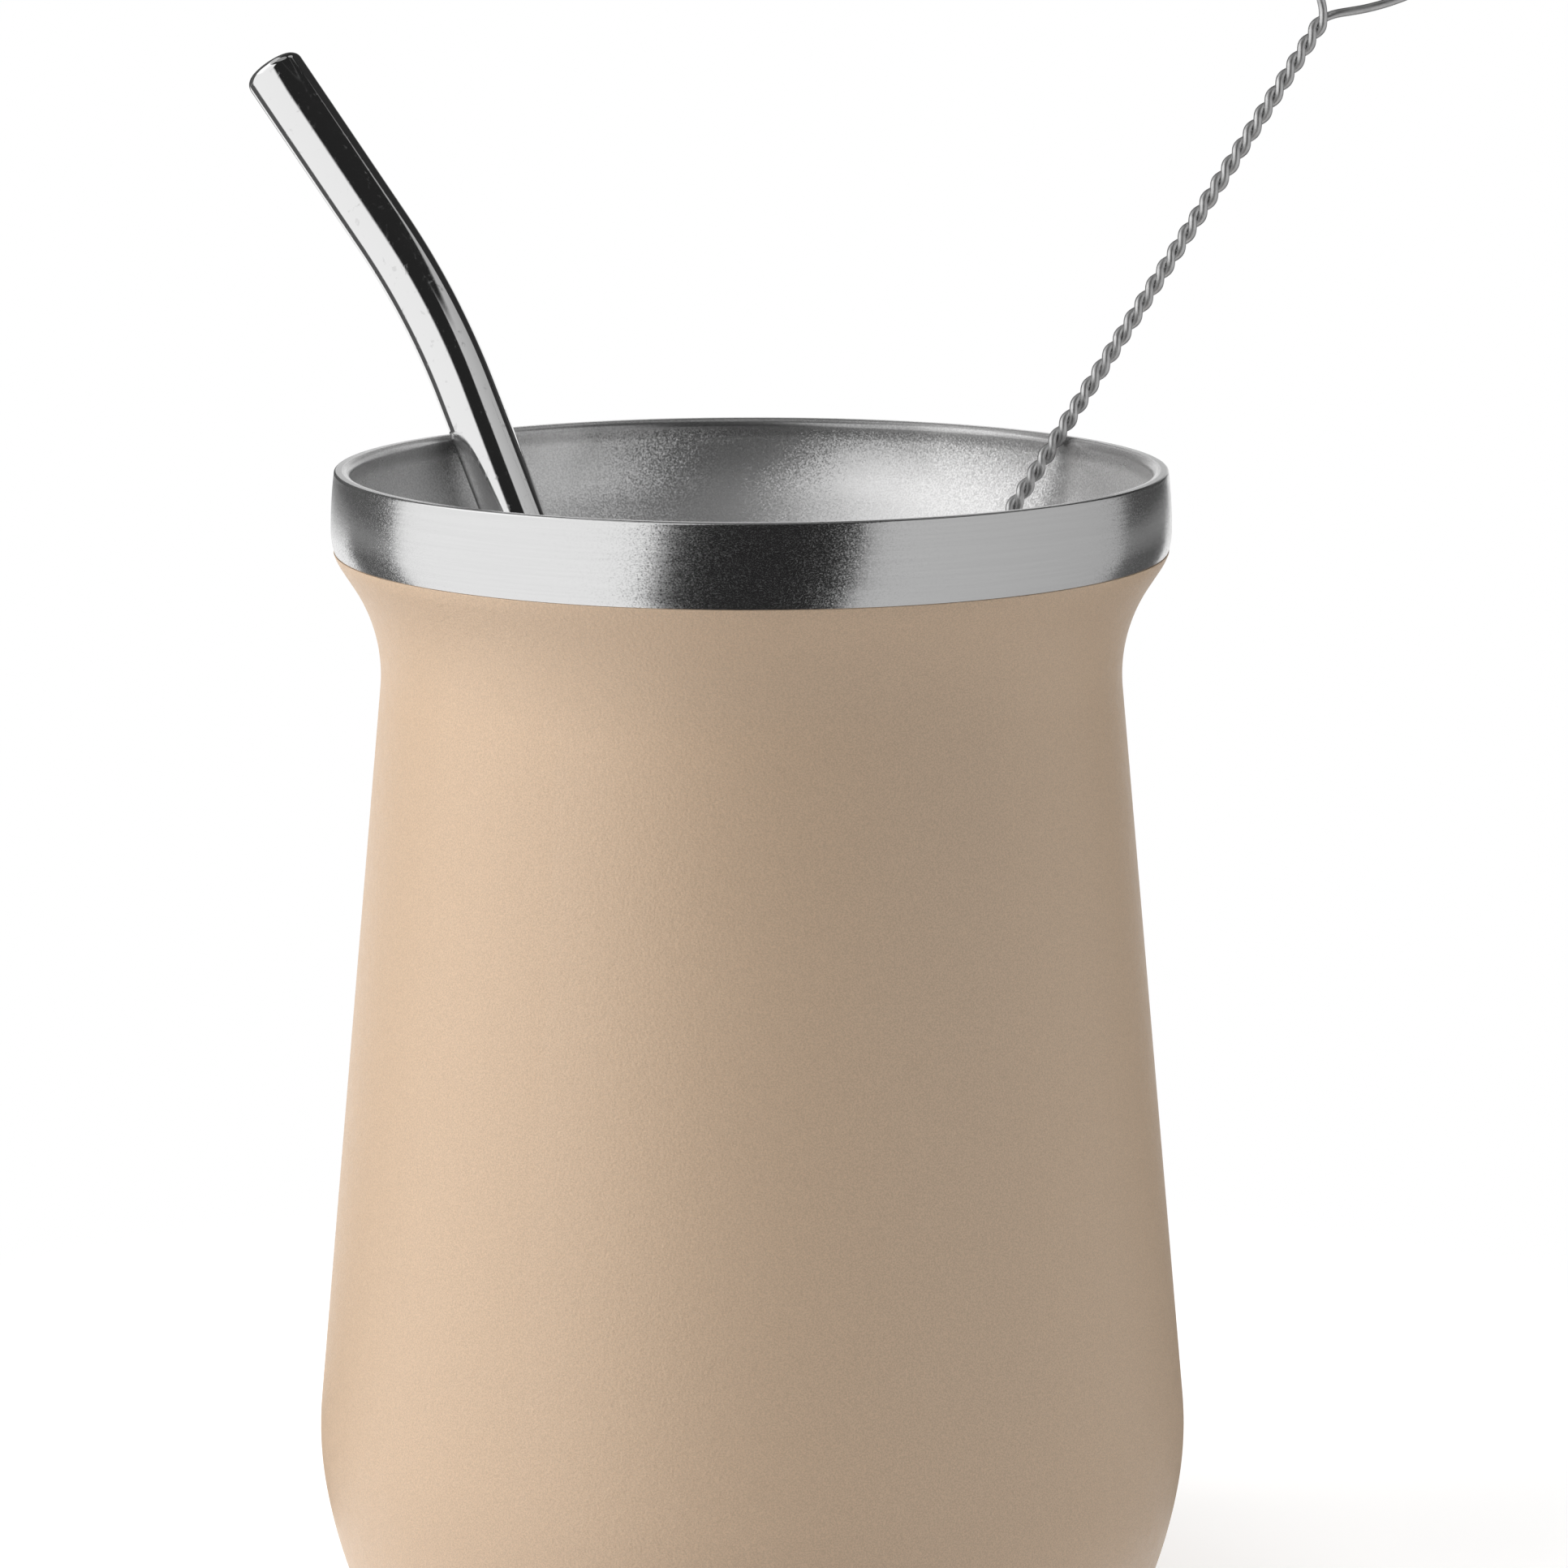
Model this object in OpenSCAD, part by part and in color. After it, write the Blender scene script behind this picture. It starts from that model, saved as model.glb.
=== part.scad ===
// Steel mate cup with a powder coated body, its bent metal straw and a twisted wire cleaning brush.
// The cup stands on Z = 0 around the Z axis. The straw and the brush lean on the cup's lip.

/* [Cup] */
// Height of the cup from its base to the top of its lip
cup_h = 113; // [100:1:130]
// Outside diameter of the bare steel band at its widest
band_d = 78.5; // [75:0.5:84]
// Outside diameter of the steel at the neck
neck_d = 69.4; // [64:0.2:72]
// Outside diameter of the steel at the belly
belly_d = 83; // [78:0.5:90]
// Depth of the band's widest circle below the lip
band_drop = 5.7; // [4:0.1:8]
// Depth of the neck's narrowest circle below the lip
neck_drop = 19.1; // [16:0.1:24]
// Height of the belly's widest circle above the base
belly_h = 20.4; // [17:0.2:26]

/* [Curves] */
// Profile radius of the band's gently barrelled wall
band_barrel_r = 42; // [30:1:80]
// Profile radius of the band's lower corner
band_corner_r = 5.8; // [3:0.1:8]
// How much of the shoulder below the band is arcs, the rest being a straight cone
shoulder_ratio = 0.98; // [0.7:0.01:1]
// Profile radius of the belly
belly_curve_r = 32; // [26:1:40]
// Angle below the belly's widest circle at which the bowl's flatter curve takes over
belly_turn = 9; // [5:1:14]
// Profile radius of the bowl below the belly
bowl_curve_r = 48.5; // [42:0.5:60]
// Profile radius of the base's corner
base_corner_r = 9; // [7:0.5:11]

/* [Walls] */
// Thickness of the steel sheet
sheet_t = 0.8; // [0.5:0.1:1.2]
// Width of the rounded lip where both walls meet
lip_w = 1.6; // [1.2:0.1:2.4]
// Height of the seam at which the outer wall and the liner are joined
seam_h = 2; // [1.5:0.1:3]
// Distance from the outer face of the cup's wall to the inner face of the liner
wall_depth = 3; // [2.4:0.1:5]
// Height of the upright land at the top of the liner
lip_land = 1.4; // [1:0.1:3]
// Profile radius of the liner's rounding below the land
liner_corner_r = 8; // [5:0.5:12]
// Height of the cup's floor above the base
floor_h = 5; // [4.5:0.1:8]
// Profile radius between the floor and the liner's wall
floor_corner_r = 8; // [6:0.5:10]
// Radius of the round recess in the base
recess_r = 23; // [15:0.5:26]
// Depth of the recess in the base
recess_h = 1.2; // [0.6:0.1:2]
// Thickness of the powder coat
coat_t = 0.1; // [0.05:0.01:0.2]
// Depth of the coat's upper edge below the lip
coat_drop = 7.6; // [6.6:0.1:8.4]
// Angle on the base's corner at which the coat ends
coat_end = 68; // [45:1:76]

/* [Straw] */
// Outside diameter of the straw's tube
straw_d = 6; // [5:0.1:8]
// Wall of the straw's tube
straw_wall = 0.5; // [0.3:0.05:0.8]
// Direction in plan of the point where the straw leans on the lip
straw_lip_az = 140.2; // [120:0.2:160]
// Direction in plan of the straw's foot on the floor
straw_foot_az = -38.7; // [-60:0.1:-20]
// Distance of the straw's foot from the cup's axis
straw_foot_r = 20; // [12:0.5:24]
// Length of straight tube between the lip and the bend
straw_rise = 3.8; // [1:0.1:15]
// Radius of the bend along the tube's axis
bend_r = 78; // [40:1:100]
// Angle of the bend
bend_angle = 13.1; // [8:0.1:25]
// Turn of the bend's plane about the straw
bend_roll = 51; // [0:1:90]
// Length of straight tube above the bend
mouth_l = 20; // [12:0.5:60]
// Radius of the rolled-in edge at the mouth end
mouth_edge_r = 1; // [0.8:0.05:1.5]

/* [Strainer] */
// Outside diameter of the strainer at the straw's foot
strainer_d = 9.5; // [9:0.1:12]
// Height of the strainer's straight wall
strainer_h = 14; // [12:0.5:22]
// Height of the cone that leads up to the tube
strainer_cone_h = 6; // [4:0.5:9]
// Length of the sleeve that grips the tube
sleeve_h = 5; // [3:0.5:8]
// Thickness of the strainer's wall
strainer_wall = 0.5; // [0.4:0.05:0.7]
// Diameter of the strainer's holes
hole_d = 1.2; // [0.8:0.1:1.5]
// Height between two rows of holes
hole_step = 2.4; // [2:0.1:3.5]
// Number of holes in each row
row_holes = 10; // [6:2:12]

/* [Brush] */
// Diameter of the brush's wire
wire_d = 0.84; // [0.7:0.02:1]
// Length of wire rod for one full twist
twist_pitch = 3.9; // [3.4:0.1:5]
// Length of the twisted rod from the brush's tip to its loop
rod_l = 164.5; // [150:0.5:190]
// Direction in plan of the point where the brush leans on the lip
brush_lip_az = 35.8; // [20:0.2:60]
// Direction in plan of the brush's tip
brush_tip_az = 159.8; // [156:0.2:176]
// Distance from the axis of the rod at the brush's tip to the liner's wall, in plan
brush_tip_gap = 3.88; // [3.7:0.02:10]
// Height of the brush's tip above the base
brush_tip_h = 15.5; // [14.5:0.5:22]
// Radius of the round part of the finger loop
loop_r = 9; // [7:0.5:12]
// Angle between the rod's axis and each side of the loop
loop_spread = 40; // [30:1:55]
// Diameter of the bristles
bristle_d = 7; // [5:0.5:8]
// Length of the rod that carries bristles
bristle_l = 45; // [30:1:60]
// Length of bare wire below the bristles
bare_tip = 1; // [0.5:0.5:4]
// Width of each fan of bristles as an angle around the rod
fan_angle = 76; // [40:2:100]

/* [Hidden] */
// Gap at which the straw and the brush lie against the lip and above the floor
rest_gap = 0.12;
// Gap between the two strands, and between them and the roots of the bristles
strand_gap = 0.03;
root_gap = 0.1;
// Sides of the tube and of the wire in cross-section, and rings for each turn of the twist
tube_sides = 28;
wire_sides = 6;
turn_rings = 7;

// Points on an arc about c from angle a0 to a1
function arc(c, r, a0, a1, n) = [for (i = [0:n])
    let (a = a0 + (a1 - a0) * i / n) c + r * [cos(a), sin(a)]];
function unit(v) = v / norm(v);
function heading(v) = atan2(v[1], v[0]);

// Forms of the steel wall and of the liner's inside, each as a list of named sizes:
// 0 band radius, 1 band height, 2 corner radius, 3 neck radius, 4 neck height,
// 5 belly radius, 6 floor height, 7 floor corner radius, 8 belly's profile radius
shell_form = [band_d / 2, cup_h - band_drop, band_corner_r, neck_d / 2, cup_h - neck_drop,
              belly_d / 2, 0, base_corner_r, belly_curve_r];
seam_r = lip_outer_r(0) - lip_w / 2;
liner_form = [seam_r - lip_w / 2, cup_h - lip_w / 2 - lip_land, liner_corner_r,
              neck_d / 2 - wall_depth, cup_h - neck_drop, belly_d / 2 - wall_depth, floor_h,
              floor_corner_r, belly_curve_r - wall_depth];

// Radius of the barrelled band at the lip's shoulder, t inside the steel's outer face
function barrel_r(z, t) = let (dz = z - cup_h + band_drop)
    band_d / 2 - band_barrel_r + sqrt(pow(band_barrel_r - t, 2) - dz * dz);
function lip_outer_r(t) = barrel_r(cup_h - lip_w / 2, t);

// Wall profile of a form, a distance t inside it, from the floor's edge up to the band's corner.
// Corner and neck arcs share a tangent cone, and belly and neck arcs share a tangent wall.
function corner_c(f) = [f[0] - f[2], f[1]];
function shoulder_sum(f) = let (dr = f[0] - f[3], dz = f[1] - f[4])
    shoulder_ratio * (dr * dr + dz * dz) / (2 * dr);
function neck_c(f) = [f[3] + shoulder_sum(f) - f[2], f[4]];
function cone_a(f) = let (v = neck_c(f) - corner_c(f)) heading(v) + acos(shoulder_sum(f) / norm(v));
function belly_c(f) = [f[5] - f[8], belly_h];
function wall_a(f) = let (v = neck_c(f) - belly_c(f))
    heading(v) - acos((shoulder_sum(f) - f[2] + f[8]) / norm(v));
function bowl_r(f) = bowl_curve_r - belly_curve_r + f[8];
function bowl_c(f) = belly_c(f) - (bowl_r(f) - f[8]) * [cos(belly_turn), -sin(belly_turn)];
function foot_c(f) = let (z = f[6] + f[7], dz = z - bowl_c(f)[1])
    [bowl_c(f)[0] + sqrt(pow(bowl_r(f) - f[7], 2) - dz * dz), z];
function foot_a(f) = heading(foot_c(f) - bowl_c(f));
function low_wall(f, t, a0) = concat(
    arc(foot_c(f), f[7] - t, a0, foot_a(f), 6),
    arc(bowl_c(f), bowl_r(f) - t, foot_a(f), -belly_turn, 3),
    arc(belly_c(f), f[8] - t, -belly_turn, wall_a(f), 3));
function neck_wall(f, t) = arc(neck_c(f), -(shoulder_sum(f) - f[2] + t), wall_a(f), cone_a(f), 7);
function high_corner(f, t, a1) = arc(corner_c(f), f[2] - t, cone_a(f), a1, 4);
// Angle on the band's corner at which the coat's edge lies
coat_a = -asin((coat_drop - band_drop) / band_corner_r);
// The steel wall in three stretches, so that the coat's two edges fall on its own points
function bare_base(t) = arc(foot_c(shell_form), base_corner_r - t, -90, -coat_end, 2);
function coated(t) = concat(low_wall(shell_form, t, -coat_end), neck_wall(shell_form, t),
                            high_corner(shell_form, t, coat_a));
function bare_corner(t) = arc(corner_c(shell_form), band_corner_r - t, coat_a, 0, 3);

// Outer wall of the cup: one pressed steel sheet from the recess in its base up to the lip,
// with the bare band at the top. The lip's outer half is rounded here, the inner half on the liner.
module outer_shell() {
    barrel_c = [band_d / 2 - band_barrel_r, cup_h - band_drop];
    top_a = asin((band_drop - lip_w / 2) / band_barrel_r);
    in_r = band_barrel_r - sheet_t;
    in_a = asin((band_drop - seam_h - sheet_t / 2) / in_r);
    color("silver") rotate_extrude($fn = 96) polygon(concat(
        [[0, recess_h], [recess_r - recess_h, recess_h], [recess_r, 0]],
        bare_base(0), coated(0), bare_corner(0),
        arc(barrel_c, band_barrel_r, 0, top_a, 2),
        arc([seam_r, cup_h - lip_w / 2], lip_w / 2, 10, 90, 5),
        [[seam_r, cup_h - seam_h]],
        arc(barrel_c, in_r, in_a, 0, 2),
        reverse(bare_corner(sheet_t)), reverse(coated(sheet_t)), reverse(bare_base(sheet_t)),
        [[recess_r + sheet_t, sheet_t], [recess_r + sheet_t - recess_h, recess_h + sheet_t],
         [0, recess_h + sheet_t]]));
}
function reverse(p) = [for (i = [len(p) - 1:-1:0]) p[i]];

// Powder coat: a thin skin on the steel from the band's lower edge round to the base's corner
module powder_coat() {
    color("tan") rotate_extrude($fn = 96) polygon(concat(coated(-coat_t), reverse(coated(0))));
}

// Liner: the inner wall, joined to the outer one at the lip, with the cup's floor
module inner_liner() {
    f = liner_form;
    t = -sheet_t;
    color("gray") rotate_extrude($fn = 96) polygon(concat(
        [[0, floor_h]], low_wall(f, 0, -90), neck_wall(f, 0), high_corner(f, 0, 0),
        arc([seam_r, cup_h - lip_w / 2], lip_w / 2, 180, 90, 6),
        [[seam_r, cup_h - seam_h]],
        reverse(high_corner(f, t, 0)), reverse(neck_wall(f, t)), reverse(low_wall(f, t, -90)),
        [[0, floor_h - sheet_t]]));
}

// A rod that stands at foot and leans on the lip: its axis passes the middle of the lip's round
// edge at reach from it, at the direction az in plan. The direction is found by a few corrections.
function lip_at(az) = [seam_r * cos(az), seam_r * sin(az), cup_h - lip_w / 2];
function lean(foot, az, reach, d, k) = k == 0 ? d :
    let (n = unit(cross(d, [-sin(az), cos(az), 0])))
    lean(foot, az, reach, unit(lip_at(az) + n * reach - foot), k - 1);
function lean_dir(foot, az, reach) = lean(foot, az, reach, unit(lip_at(az) - foot), 8);
// Distance along such a rod from its foot to the place where it touches the lip
function lean_len(foot, az, d) = (lip_at(az) - foot) * d;
// Places a rod drawn up the Z axis at p, along d
module along(p, d, roll = 0) {
    translate(p) rotate([0, acos(d[2]), heading(d)]) rotate([0, 0, roll]) children();
}

straw_foot = [straw_foot_r * cos(straw_foot_az), straw_foot_r * sin(straw_foot_az),
              floor_h + strainer_d / 2 + rest_gap];
straw_dir = lean_dir(straw_foot, straw_lip_az, lip_w / 2 + straw_d / 2 + rest_gap);
straw_low = lean_len(straw_foot, straw_lip_az, straw_dir) + straw_rise;
// Height in the strainer at which the tube ends, at the top of its cone
tube_start = strainer_h + strainer_cone_h;

// Stations along the tube, each its middle, its direction and its radius: up the outside, round the
// rolled-in edge of the mouth, and back down the bore
function tube_mid(z) = let (a = min(max(z - straw_low, 0) * 180 / PI / bend_r, bend_angle),
                            over = max(z - straw_low - bend_r * bend_angle * PI / 180, 0))
    [bend_r * (1 - cos(a)) + over * sin(a), 0, min(z, straw_low) + bend_r * sin(a) + over * cos(a)];
function tube_dir(z) = let (a = min(max(z - straw_low, 0) * 180 / PI / bend_r, bend_angle))
    [sin(a), 0, cos(a)];
function station(z, r) = [tube_mid(z), tube_dir(z), r];
bend_len = bend_r * bend_angle * PI / 180;
edge_z = straw_low + bend_len + mouth_l - mouth_edge_r;
tube_stops = concat([tube_start], [for (i = [0:5]) straw_low + bend_len * i / 5]);
tube_stations = let (r = straw_d / 2, e = mouth_edge_r, w = straw_wall) concat(
    [for (z = tube_stops) station(z, r)],
    [for (a = [0:22.5:90]) station(edge_z + e * sin(a), r - e + e * cos(a))],
    [for (a = [90:-30:0]) station(edge_z + (e - w) * sin(a), r - e + (e - w) * cos(a))],
    [for (i = [len(tube_stops) - 1:-1:0]) station(tube_stops[i], r - w)]);

// Ring of n points of radius r around p, square to the direction t
function round_ring(p, t, r, n) = let (u = unit([0, 1, 0] - t[1] * t), v = cross(t, u))
    [for (k = [0:n - 1]) p + r * (cos(360 * k / n) * u + sin(360 * k / n) * v)];
// Faces between ring i and ring j of n points each
function band_faces(i, j, n) = [for (k = [0:n - 1])
    let (a = i * n + k, b = i * n + (k + 1) % n, d = (j - i) * n)
        each [[a, b, b + d], [a, b + d, a + d]]];

// Straw: a polished tube with one gentle bend and a rolled-in mouth end
module straw_tube() {
    n = len(tube_stations);
    color("gainsboro") along(straw_foot, straw_dir, bend_roll) polyhedron(
        points = [for (s = tube_stations) each round_ring(s[0], s[1], s[2], tube_sides)],
        faces = [for (i = [0:n - 1]) each band_faces(i, (i + 1) % n, tube_sides)]);
}

// Strainer: a slim closed bulb with rows of small holes, its sleeve brazed on the tube's end
module strainer() {
    r = strainer_d / 2;
    w = strainer_wall;
    tr = straw_d / 2;
    // The first and the last row stay clear of the bulb's round end and of the cone
    clear = hole_step / 8;
    rows = floor((strainer_h - hole_d - 2 * clear) / hole_step);
    color("silver") along(straw_foot, straw_dir) difference() {
        rotate_extrude($fn = 64) polygon(concat(
            arc([0, 0], r, -90, 0, 8),
            [[r, strainer_h], [tr + w, tube_start], [tr + w, tube_start + sleeve_h],
             [tr, tube_start + sleeve_h], [tr, tube_start], [tr - straw_wall, tube_start],
             [r - w, strainer_h]],
            arc([0, 0], r - w, 0, -90, 8)));
        for (i = [0:rows]) for (j = [0:row_holes - 1])
            translate([0, 0, clear + hole_d / 2 + i * hole_step])
                rotate([0, 90, (j + (i % 2) / 2) * 360 / row_holes])
                    translate([0, 0, r - 2 * w]) cylinder(h = 3 * w, d = hole_d, $fn = 24);
    }
}

// The tip lies a set distance inside the liner's belly
liner_r = belly_c(liner_form)[0] + sqrt(pow(liner_form[8], 2) - pow(brush_tip_h - belly_h, 2));
brush_tip_r = liner_r - brush_tip_gap;
brush_tip = [brush_tip_r * cos(brush_tip_az), brush_tip_r * sin(brush_tip_az), brush_tip_h];
brush_dir = lean_dir(brush_tip, brush_lip_az, lip_w / 2 + wire_d + rest_gap);

// Centre line of the wire: up one strand of the left-handed twist, round the loop, and down the
// other strand. Two strands lie side by side, a hair more than one wire apart.
helix_r = (wire_d + strand_gap) / 2;
rod_rings = floor(rod_l / twist_pitch * turn_rings);
function strand(i, side) = let (z = rod_l * i / rod_rings, a = 360 * (rod_l - z) / twist_pitch + side)
    [helix_r * cos(a), helix_r * sin(a), z];
// The loop's straight sides run to where they meet the circle as tangents
loop_rise = (loop_r - helix_r * cos(loop_spread)) / sin(loop_spread);
loop_path = [for (i = [0:24]) let (a = -loop_spread + (180 + 2 * loop_spread) * i / 24)
    [loop_r * cos(a), 0, rod_l + loop_rise + loop_r * sin(a)]];
wire_path = concat([for (i = [0:rod_rings]) strand(i, 0)], loop_path,
                   [for (i = [rod_rings:-1:0]) strand(i, 180)]);

// Direction of a path at its point i
function tangent(p, i) = unit(p[min(i + 1, len(p) - 1)] - p[max(i - 1, 0)]);

// Brush wire: one length of steel wire, folded into a finger loop and twisted with itself
module brush_wire() {
    n = len(wire_path);
    s = wire_sides;
    color("dimgray") along(brush_tip, brush_dir) polyhedron(
        points = [for (i = [0:n - 1])
            each round_ring(wire_path[i], tangent(wire_path, i), 0.45 * wire_d, s)],
        faces = concat([for (i = [0:n - 2]) each band_faces(i, i + 1, s)],
                       [[for (k = [s - 1:-1:0]) k], [for (k = [0:s - 1]) (n - 1) * s + k]]));
}

// Bristles: two fans that wind along the rod between the wires, as the twist holds them
module bristles() {
    color("whitesmoke") along(brush_tip, brush_dir) translate([0, 0, bare_tip])
        linear_extrude(height = bristle_l, twist = 360 * bristle_l / twist_pitch,
                       slices = round(7.5 * bristle_l / twist_pitch))
            for (side = [90, 270]) rotate(side + 360 * (rod_l - bare_tip) / twist_pitch)
                polygon(concat(arc([0, 0], wire_d + root_gap, fan_angle / 2, -fan_angle / 2, 2),
                               arc([0, 0], bristle_d / 2, -fan_angle / 2, fan_angle / 2, 3)));
}

outer_shell();
powder_coat();
inner_liner();
straw_tube();
strainer();
brush_wire();
bristles();
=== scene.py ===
"""Steel mate cup with a tan powder coat, a bent metal straw and a twisted wire cleaning brush.

The cup stands on z = 0 around the Z axis, and -Y is the side that faces the main camera. Everything
is in metres. The sizes are those of the part's solids, apart from the few that a comment names, and
the outlines are drawn here again with more points.
"""
import math
from collections import namedtuple

import bpy
import numpy as np
from mathutils import Matrix, Vector


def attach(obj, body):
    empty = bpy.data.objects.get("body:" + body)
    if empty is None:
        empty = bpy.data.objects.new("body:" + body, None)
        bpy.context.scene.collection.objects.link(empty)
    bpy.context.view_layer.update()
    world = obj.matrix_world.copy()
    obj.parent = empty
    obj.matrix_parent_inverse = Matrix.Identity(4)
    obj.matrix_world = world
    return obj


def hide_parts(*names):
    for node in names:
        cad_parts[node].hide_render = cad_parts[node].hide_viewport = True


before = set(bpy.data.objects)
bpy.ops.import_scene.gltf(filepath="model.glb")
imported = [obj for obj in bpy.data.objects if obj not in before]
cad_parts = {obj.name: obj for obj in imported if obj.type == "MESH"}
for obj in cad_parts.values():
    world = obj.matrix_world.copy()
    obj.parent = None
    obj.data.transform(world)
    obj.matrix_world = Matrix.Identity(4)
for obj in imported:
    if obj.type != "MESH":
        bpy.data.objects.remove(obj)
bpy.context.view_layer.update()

MM = 0.001

# The cup's height, and the radius and height of each of its widest and narrowest circles
CUP_H = 113 * MM
BAND_R = 39.25 * MM
BAND_Z = CUP_H - 5.7 * MM
NECK_R = 34.7 * MM
NECK_Z = CUP_H - 19.1 * MM
BELLY_R = 41.5 * MM
BELLY_Z = 20.4 * MM

# Profile radii of its curves, the share of the shoulder that is round, and the angle below the
# belly's widest circle at which the bowl's flatter curve takes over
BAND_BARREL_R = 42 * MM
BAND_CORNER_R = 5.8 * MM
SHOULDER_ROUND = 0.98
BELLY_CURVE_R = 32 * MM
BELLY_TURN = math.radians(9)
BOWL_CURVE_R = 48.5 * MM
BASE_CORNER_R = 9 * MM
FLOOR_CORNER_R = 8 * MM

# Its two walls, the lip that joins them, its floor and the recess in its base
SHEET_T = 0.8 * MM
WALL_DEPTH = 3 * MM
LIP_W = 1.6 * MM
SEAM_H = 2 * MM
FLOOR_Z = 5 * MM
RECESS_R = 23 * MM
RECESS_H = 1.2 * MM
RECESS_FLAT_R = RECESS_R - 1.6 * RECESS_H
RESTING_RING_R = RECESS_R + 0.2 * MM
RECESS_EDGE_R = 0.6 * MM

# The lip's outer edge is sharper here than in the solids, and the liner's land lower and its rounding
# larger
LIP_EDGE_R = 0.25 * MM
LIP_EDGE_START = math.radians(10)
LIP_LAND = 0.2 * MM
LINER_CORNER_R = 14 * MM

# The coat's thickness, its upper edge below the lip and its lower edge on the base's corner
COAT_T = 0.1 * MM
COAT_DROP = 7.6 * MM
COAT_END = math.radians(68)

# The straw: where it stands and leans, its tube, its bend and its mouth. Azimuths of places on the
# cup are counted from +X, and REST_GAP is left where the straw or the brush lies against the cup.
REST_GAP = 0.12 * MM
STRAW_FOOT_R = 20 * MM
STRAW_FOOT_AZ = math.radians(-38.7)
STRAW_LIP_AZ = math.radians(140.2)
STRAINER_R = 4.75 * MM
STRAW_R = 3 * MM
STRAW_WALL = 0.5 * MM
TUBE_START = 20 * MM
STRAW_RISE = 3.8 * MM
BEND_R = 78 * MM
BEND_ANGLE = math.radians(13.1)
BEND_L = BEND_R * BEND_ANGLE
BEND_ROLL = math.radians(51)
MOUTH_L = 20 * MM
MOUTH_EDGE_R = 1 * MM

# The brush: where it stands and leans, its rod and its loop. The strands are a little thicker than in
# the solids and touch each other, and the loop's sides bow outwards by these two angles.
BRUSH_TIP_Z = 15.5 * MM
BRUSH_TIP_GAP = 3.88 * MM
BRUSH_TIP_AZ = math.radians(159.8)
BRUSH_LIP_AZ = math.radians(35.8)
WIRE_R = 0.42 * MM
HELIX_R = 0.414 * MM
TWIST_PITCH = 3.9 * MM
ROD_L = 164.5 * MM
LOOP_R = 9 * MM
LOOP_SPREAD = math.radians(40)
LOOP_LEAVE_BOW = math.radians(13)
LOOP_JOIN_BOW = math.radians(22)
WIRE_END_L = 0.12 * MM
WIRE_END_R = 0.6 * WIRE_R

# Its bristles, as single filaments: their zone on the rod, and how much they differ from each other
BARE_TIP = 1 * MM
BRISTLE_L = 45 * MM
BRISTLE_ROOT = 0.9 * MM
BRISTLE_R = 3.5 * MM
FAN_ANGLE = math.radians(76)
FILAMENTS = 1500
FILAMENT_R = 0.06 * MM
FILAMENT_BOW = 0.1 * MM
FILAMENT_DRIFT = 0.08 * MM
FILAMENT_SHORTENING = 0.012

# How finely the round pieces are divided, and how many points smooth the wire into its loop
CUP_SIDES = 256
TUBE_SIDES = 96
WIRE_SIDES = 12
TWIST_POINTS = 26
JOIN_POINTS = 8
JOIN_PASSES = 14


# Outlines
def unit(v):
    """The vector at a length of 1."""
    return v / np.linalg.norm(v)


def heading(v):
    """Angle of a flat vector from its first axis."""
    return math.atan2(v[1], v[0])


def arc(centre, radius, start, end, steps):
    """Points on an arc from the angle start to the angle end."""
    angles = np.linspace(start, end, steps + 1)
    return [centre + radius * np.array([math.cos(a), math.sin(a)]) for a in angles]


class Wall:
    """Side view of a cup wall as tangent arcs: floor corner, bowl, belly, neck and top corner."""

    def __init__(self, top_r, top_z, corner_r, neck_r, belly_r, curve_r, floor_z, foot_r):
        self.corner_r = corner_r
        self.curve_r = curve_r
        self.foot_r = foot_r
        self.corner = np.array([top_r - corner_r, top_z])
        dr = top_r - neck_r
        dz = top_z - NECK_Z
        shoulder_r = SHOULDER_ROUND * (dr * dr + dz * dz) / (2 * dr)
        self.neck_r = shoulder_r - corner_r
        self.neck = np.array([neck_r + self.neck_r, NECK_Z])
        v = self.neck - self.corner
        self.cone_a = heading(v) + math.acos(shoulder_r / np.linalg.norm(v))
        self.belly = np.array([belly_r - curve_r, BELLY_Z])
        v = self.neck - self.belly
        self.wall_a = heading(v) - math.acos((self.neck_r + curve_r) / np.linalg.norm(v))
        self.bowl_r = BOWL_CURVE_R - BELLY_CURVE_R + curve_r
        turn = np.array([math.cos(BELLY_TURN), -math.sin(BELLY_TURN)])
        self.bowl = self.belly - (self.bowl_r - curve_r) * turn
        foot_z = floor_z + foot_r
        drop = foot_z - self.bowl[1]
        self.foot = np.array([self.bowl[0] + math.sqrt((self.bowl_r - foot_r) ** 2 - drop**2), foot_z])
        self.foot_a = heading(self.foot - self.bowl)

    def base(self, t, end):
        """Floor corner from its lowest point up to the angle end, t inside the wall's face."""
        return arc(self.foot, self.foot_r - t, -math.pi / 2, end, 8)

    def side(self, t, start, corner_end):
        """From the angle start on the floor corner up to the angle corner_end on the top corner."""
        points = arc(self.foot, self.foot_r - t, start, self.foot_a, 14)
        points += arc(self.bowl, self.bowl_r - t, self.foot_a, -BELLY_TURN, 12)[1:]
        points += arc(self.belly, self.curve_r - t, -BELLY_TURN, self.wall_a, 12)[1:]
        neck = arc(self.neck, -(self.neck_r + t), self.wall_a, self.cone_a, 22)
        low = points[-1]
        steps = 8
        points += [low + (neck[0] - low) * k / steps for k in range(1, steps)]
        points += neck
        points += arc(self.corner, self.corner_r - t, self.cone_a, corner_end, 14)
        return points

    def top_corner(self, t, start):
        """Top corner from the angle start up to where it is upright."""
        return arc(self.corner, self.corner_r - t, start, 0, 8)


def barrel_r(z):
    """Radius of the barrelled band at the height z."""
    return BAND_R - BAND_BARREL_R + math.sqrt(BAND_BARREL_R**2 - (z - BAND_Z) ** 2)


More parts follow.
